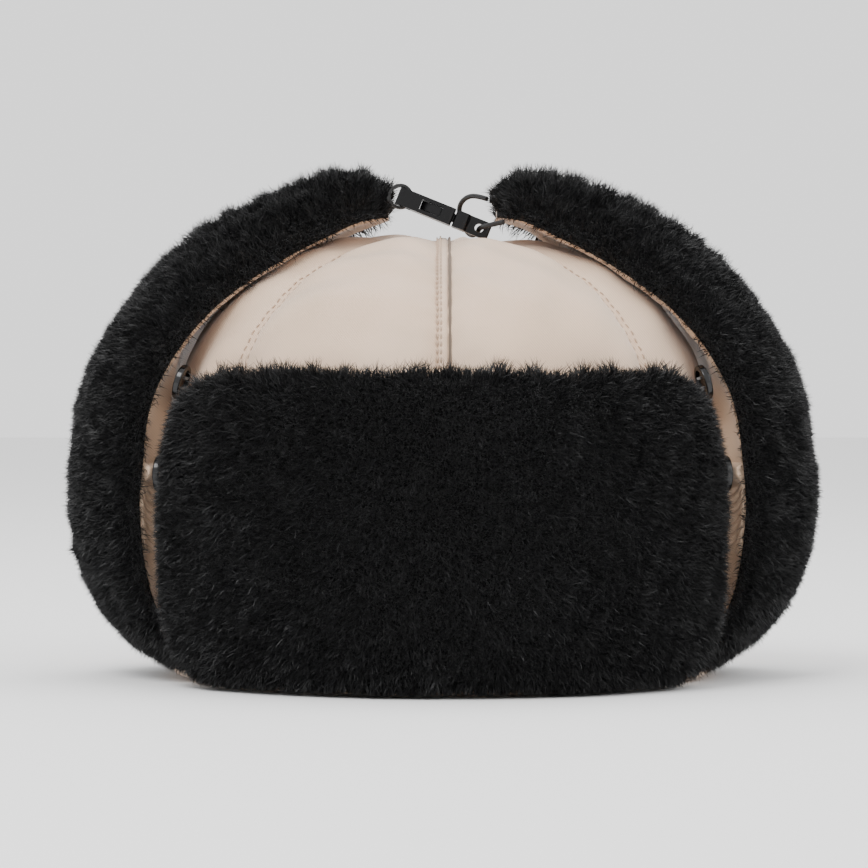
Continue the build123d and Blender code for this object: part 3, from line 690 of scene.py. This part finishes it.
class HAT_OT_ear_flaps(bpy.types.Operator):
    """Both ear flaps: plush outside, nylon inside and round the front edge"""
    bl_idname = "hat.ear_flaps"
    bl_label = "Ear flaps"

    def execute(self, context):
        sizes = context.scene.hat_sizes
        for name, outward, seed in (("left", 1, 100), ("right", -1, 200)):
            front = -outward
            skin, place = flap_grid((outward, 0, 0), HALF_WIDTH, EAR_STOPS, sizes.ear_flap_width,
                                    sizes.ear_flap_thickness, sizes.ear_flap_belly, 96, 120, 4.2 * MM, front)

            def band(place, share):
                # The plush turns round the back edge and ends on the front one; the inner face is nylon.
                towards_front = place * front
                return ((towards_front <= 1.006) & (towards_front > -1.03)) * smooth_step(share, 0.0, 0.02)

            nodes = [f"{name}_ear_flap_{layer}" for layer in ("cloth", "wadding", "fur")]
            skin, normals = plush_flap(f"{name}_ear_flap", f"{name}_flap", skin, place, nodes, seed,
                                       (0.1 * outward, -0.25, -0.50), band)
            self.gathers(name, skin, normals, place * front)
        return {"FINISHED"}

    def gathers(self, name, skin, normals, towards_front):
        """The elastic patch on the front edge, gathered into slanting ridges."""
        first_row, last_row, fine_rows, fine_columns = 23, 35, 130, 48
        columns = [at for at in range(skin.shape[1]) if 1.003 < towards_front[at] <= 1.32]
        columns.sort(key=lambda at: towards_front[at])
        at_rows = np.linspace(0, last_row - first_row, fine_rows)
        at_columns = np.linspace(0, len(columns) - 1, fine_columns)
        points, up = (resample(grid[first_row:last_row + 1][:, columns], at_rows, at_columns)
                      for grid in (skin, normals))
        row, column = np.meshgrid(np.linspace(0, 1, fine_rows), np.linspace(0, 1, fine_columns),
                                  indexing="ij")
        ridges = np.abs(np.sin((row * 9.5 + column * 3.4) * math.pi)) ** 0.7
        ridges *= 1 - smooth_step(row, 0.68, 0.78)
        lip = 2.8 * smooth_step(row, 0.72, 0.86) * (1 - smooth_step(row, 0.92, 1.0))
        rim = smooth_step(np.minimum(row, 1 - row), 0, 0.05)
        rim *= smooth_step(np.minimum(column, 1 - column), 0, 0.08)
        lift = (0.5 + ridges + lip) * rim - 0.3
        patch = grid_piece(f"{name}_gathers", points + up * lift[..., None] * MM, finish("nylon"))
        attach(patch, f"{name}_ear_flap")
        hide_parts(f"{name}_ear_flap_shirring")


class HAT_OT_neck_flap(bpy.types.Operator):
    """The neck flap turned up at the back"""
    bl_idname = "hat.neck_flap"
    bl_label = "Neck flap"

    def execute(self, context):
        sizes = context.scene.hat_sizes
        skin, place = flap_grid((0, 1, 0), HALF_DEPTH, NECK_STOPS, sizes.neck_flap_width,
                                sizes.neck_flap_thickness, sizes.neck_flap_belly, 72, 120, 5.0 * MM)

        def band(place, share):
            return (np.abs(place) < 1.1) * smooth_step(share, 0.0, 0.02)

        nodes = [f"neck_flap_{layer}" for layer in ("cloth", "wadding", "fur")]
        plush_flap("neck_flap", "neck_flap_pelt", skin, place, nodes, 300, (0, 0.3, -0.5), band, pieces=1)
        return {"FINISHED"}


class HAT_OT_front_flap(bpy.types.Operator):
    """The front flap, sewn up against the crown"""
    bl_idname = "hat.front_flap"
    bl_label = "Front flap"

    def execute(self, context):
        sizes = context.scene.hat_sizes
        low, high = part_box("front_flap_fur")
        foot, tall = float(low[2]) + 4 * MM, float(high[2] - low[2]) - 6.5 * MM
        columns, around = 170, 88
        half_length = sizes.front_flap_reach * (HALF_WIDTH + HALF_DEPTH) / 2 + 6 * MM
        turn = np.linspace(0, 2 * math.pi, around, endpoint=False)
        up = np.sign(np.sin(turn)) * np.abs(np.sin(turn)) ** 0.66
        out = np.sign(np.cos(turn)) * np.abs(np.cos(turn)) ** 0.80
        skin = []
        for spot in np.sin(np.linspace(-math.pi / 2, math.pi / 2, columns) * 0.985):
            angle = -math.pi / 2 + spot * sizes.front_flap_reach
            from_end = (1 - abs(spot)) * half_length
            top_cut = self.corner(from_end, 30 * MM)
            foot_cut = self.corner(from_end, 27 * MM) * 0.8
            thick = sizes.front_flap_thickness * (1 - self.corner(from_end, 10 * MM) / (10 * MM)) + 1.5 * MM
            bottom, top = foot + foot_cut, foot + tall - top_cut
            z = (bottom + top) / 2 + up * (top - bottom) / 2
            climb = (z - foot) / tall
            reach = 1.6 * MM + thick / 2 * (1 + out) + 2.2 * MM * np.sin(math.pi * climb) * (out > 0)
            skin.append(np.stack([(HALF_WIDTH + reach) * math.cos(angle),
                                  (HALF_DEPTH + reach) * math.sin(angle), z], axis=-1))
        rise = np.sin(turn)
        place = np.where(np.cos(turn) >= -1e-9, rise, np.sign(rise) * (2 - np.abs(rise)))

        def band(place, share):
            return (np.abs(place) < 1.25) * 1.0

        nodes = [f"front_flap_{layer}" for layer in ("cloth", "wadding", "fur")]
        plush_flap("crown", "front_flap_pelt", np.array(skin), place, nodes, 400, (0, -0.2, -0.5), band,
                   pieces=3)
        return {"FINISHED"}

    def corner(self, from_end, radius):
        """How far a corner of that radius has cut in at a distance from the end."""
        across = min(from_end / radius, 1)
        return radius * (1 - math.sqrt(1 - (1 - across) ** 2))


# ---------------------------------------------------------------- hinges, trim and clip

class HAT_OT_hinges(bpy.types.Operator):
    """Nylon strips that join each folding flap to the rim"""
    bl_idname = "hat.hinges"
    bl_label = "Hinge strips"

    def execute(self, context):
        ear_width, neck_width = 92 * MM, 118 * MM
        section = ((0.6, 3.2), (1.4, 1.8), (2.6, 1.2), (3.8, 1.5), (4.6, 2.6), (4.9, 5.0), (4.4, 8.0))
        run = np.linspace(-1, 1, 60)
        ripple = 0.15 * np.sin(run * 60)
        for name, outward, reach, other, width in (
                ("left_ear_flap", (1, 0, 0), HALF_WIDTH, HALF_DEPTH, ear_width),
                ("right_ear_flap", (-1, 0, 0), HALF_WIDTH, HALF_DEPTH, ear_width),
                ("neck_flap", (0, 1, 0), HALF_DEPTH, HALF_WIDTH, neck_width)):
            out, up = np.array(outward, float), np.array([0.0, 0, 1])
            side = np.cross(up, out)
            bend = reach * (1 - np.sqrt(np.clip(1 - (run * width / 2 / other) ** 2, 0, 1)))
            rows = []
            for away, height in section:
                rows.append(out * (reach + (away + ripple[:, None]) * MM) - out * bend[:, None] * 0.85
                            + side * (run * width / 2)[:, None] + up * height * MM)
            strip = grid_piece(f"{name}_hinge_strip", np.array(rows), finish("nylon"))
            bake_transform(strip)
        return {"FINISHED"}


class HAT_OT_trim(bpy.types.Operator):
    """Buttons, their threads, the clip, its strap and the cord's tab"""
    bl_idname = "hat.trim"
    bl_label = "Buttons and clip"

    def execute(self, context):
        wears = {"button_thread": "thread", "button": "button", "clip_strap": "webbing",
                 "cord_tab": "webbing", "clip_": "clip"}
        for node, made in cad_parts.items():
            if made.hide_render:
                continue
            for part, material in wears.items():
                if part in node:
                    made.data.materials.clear()
                    made.data.materials.append(finish(material))
                    made.data.polygons.foreach_set("material_index", [0] * len(made.data.polygons))
                    break
        return {"FINISHED"}


class HAT_OT_cord(bpy.types.Operator):
    """The elastic cord: a loop from the plug with one free tail"""
    bl_idname = "hat.cord"
    bl_label = "Elastic cord"

    # The cord's path from the plug to its free end, in millimetres.
    ROUTE = ((15.9, -8.6, 170.1), (12.0, -5.0, 171.6), (8.2, -0.4, 171.0), (5.8, 4.6, 167.8),
             (6.8, 6.8, 162.3), (9.4, 4.2, 157.9), (11.4, -1.6, 157.2), (12.8, -7.6, 158.6),
             (13.1, -19.4, 159.4), (15.8, -25.0, 160.0), (21.6, -28.0, 161.2))

    def execute(self, context):
        thick = context.scene.hat_sizes.cord
        curve = bpy.data.curves.new("elastic_cord_line", "CURVE")
        curve.dimensions = "3D"
        curve.bevel_depth = thick / 2
        curve.bevel_resolution = 6
        curve.resolution_u = 24
        curve.use_fill_caps = True
        spline = curve.splines.new("NURBS")
        spline.points.add(len(self.ROUTE) - 1)
        for point, place in zip(spline.points, self.ROUTE):
            point.co = tuple(axis * MM for axis in place) + (1,)
        spline.order_u = 3
        spline.use_endpoint_u = True
        cord = bpy.data.objects.new("elastic_cord_round", curve)
        context.scene.collection.objects.link(cord)
        curve.materials.append(finish("cord"))
        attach(cord, "left_ear_flap")
        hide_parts("elastic_cord")
        return {"FINISHED"}


# ---------------------------------------------------------------- stage

class HAT_OT_stage(bpy.types.Operator):
    """Pale floor, soft studio light and the camera"""
    bl_idname = "hat.stage"
    bl_label = "Stage"

    def execute(self, context):
        scene = context.scene
        material, _, _ = new_material("studio_floor", (0.86, 0.86, 0.86, 1), 0.9)
        half, low = 6, -0.3 * MM
        corners = [(-half, -half, low), (half, -half, low), (half, half, low), (-half, half, low)]
        floor = piece("studio_floor", corners, [(0, 1, 2, 3)], material, smooth=False)
        world = bpy.data.worlds.new("studio_world")
        world.use_nodes = True
        world.node_tree.nodes["Background"].inputs["Color"].default_value = (1, 1, 1, 1)
        world.node_tree.nodes["Background"].inputs["Strength"].default_value = 1.5
        scene.world = world
        self.light("key", (-0.7, -1.2, 1.8), 1.0, 34)
        self.light("fill", (1.4, -1.0, 1.0), 1.4, 11)
        self.light("top", (0.0, 0.5, 1.9), 1.2, 14)
        camera = bpy.data.objects.new("camera", bpy.data.cameras.new("camera"))
        camera.data.sensor_width = 36
        camera.data.lens = 173
        aim = Vector((-0.003, 0, 0.086))
        camera.location = aim + Vector((0, -1.5, 0.02))
        camera.rotation_euler = (aim - camera.location).to_track_quat("-Z", "Y").to_euler()
        scene.collection.objects.link(camera)
        scene.camera = camera
        return {"FINISHED"}

    def light(self, name, place, size, power):
        """A square softbox that faces the hat."""
        lamp = bpy.data.lights.new(name, "AREA")
        lamp.size = size
        lamp.energy = power
        made = bpy.data.objects.new(name, lamp)
        made.location = place
        made.rotation_euler = (Vector((0, 0, 0.08)) - Vector(place)).to_track_quat("-Z", "Y").to_euler()
        bpy.context.scene.collection.objects.link(made)


class HAT_PT_panel(bpy.types.Panel):
    """The hat's sizes, colours and builders"""
    bl_idname = "HAT_PT_panel"
    bl_label = "Trapper Hat"
    bl_space_type = "VIEW_3D"
    bl_region_type = "UI"
    bl_category = "Hat"

    def draw(self, context):
        layout = self.layout
        for group in (context.scene.hat_sizes, context.scene.hat_colours):
            box = layout.box()
            for name in group.__annotations__:
                box.prop(group, name)
        for operator in OPERATORS:
            layout.operator(operator.bl_idname)


OPERATORS = (HAT_OT_crown, HAT_OT_inside, HAT_OT_front_flap, HAT_OT_ear_flaps, HAT_OT_neck_flap,
             HAT_OT_hinges, HAT_OT_trim, HAT_OT_cord, HAT_OT_stage)
CLASSES = (HatSizes, HatColours) + OPERATORS + (HAT_PT_panel,)


def register():
    """Adds the hat's classes and its properties to the scene."""
    for registered in CLASSES:
        bpy.utils.register_class(registered)
    bpy.types.Scene.hat_sizes = bpy.props.PointerProperty(type=HatSizes)
    bpy.types.Scene.hat_colours = bpy.props.PointerProperty(type=HatColours)


def unregister():
    """Takes the hat's properties and classes away again."""
    del bpy.types.Scene.hat_colours
    del bpy.types.Scene.hat_sizes
    for registered in reversed(CLASSES):
        bpy.utils.unregister_class(registered)


def main():
    """Builds the hat and its stage."""
    register()
    bpy.ops.hat.crown()
    bpy.ops.hat.inside()
    bpy.ops.hat.front_flap()
    bpy.ops.hat.ear_flaps()
    bpy.ops.hat.neck_flap()
    bpy.ops.hat.hinges()
    bpy.ops.hat.trim()
    bpy.ops.hat.cord()
    bpy.ops.hat.stage()
    bpy.context.view_layer.update()


if __name__ == "__main__":
    main()
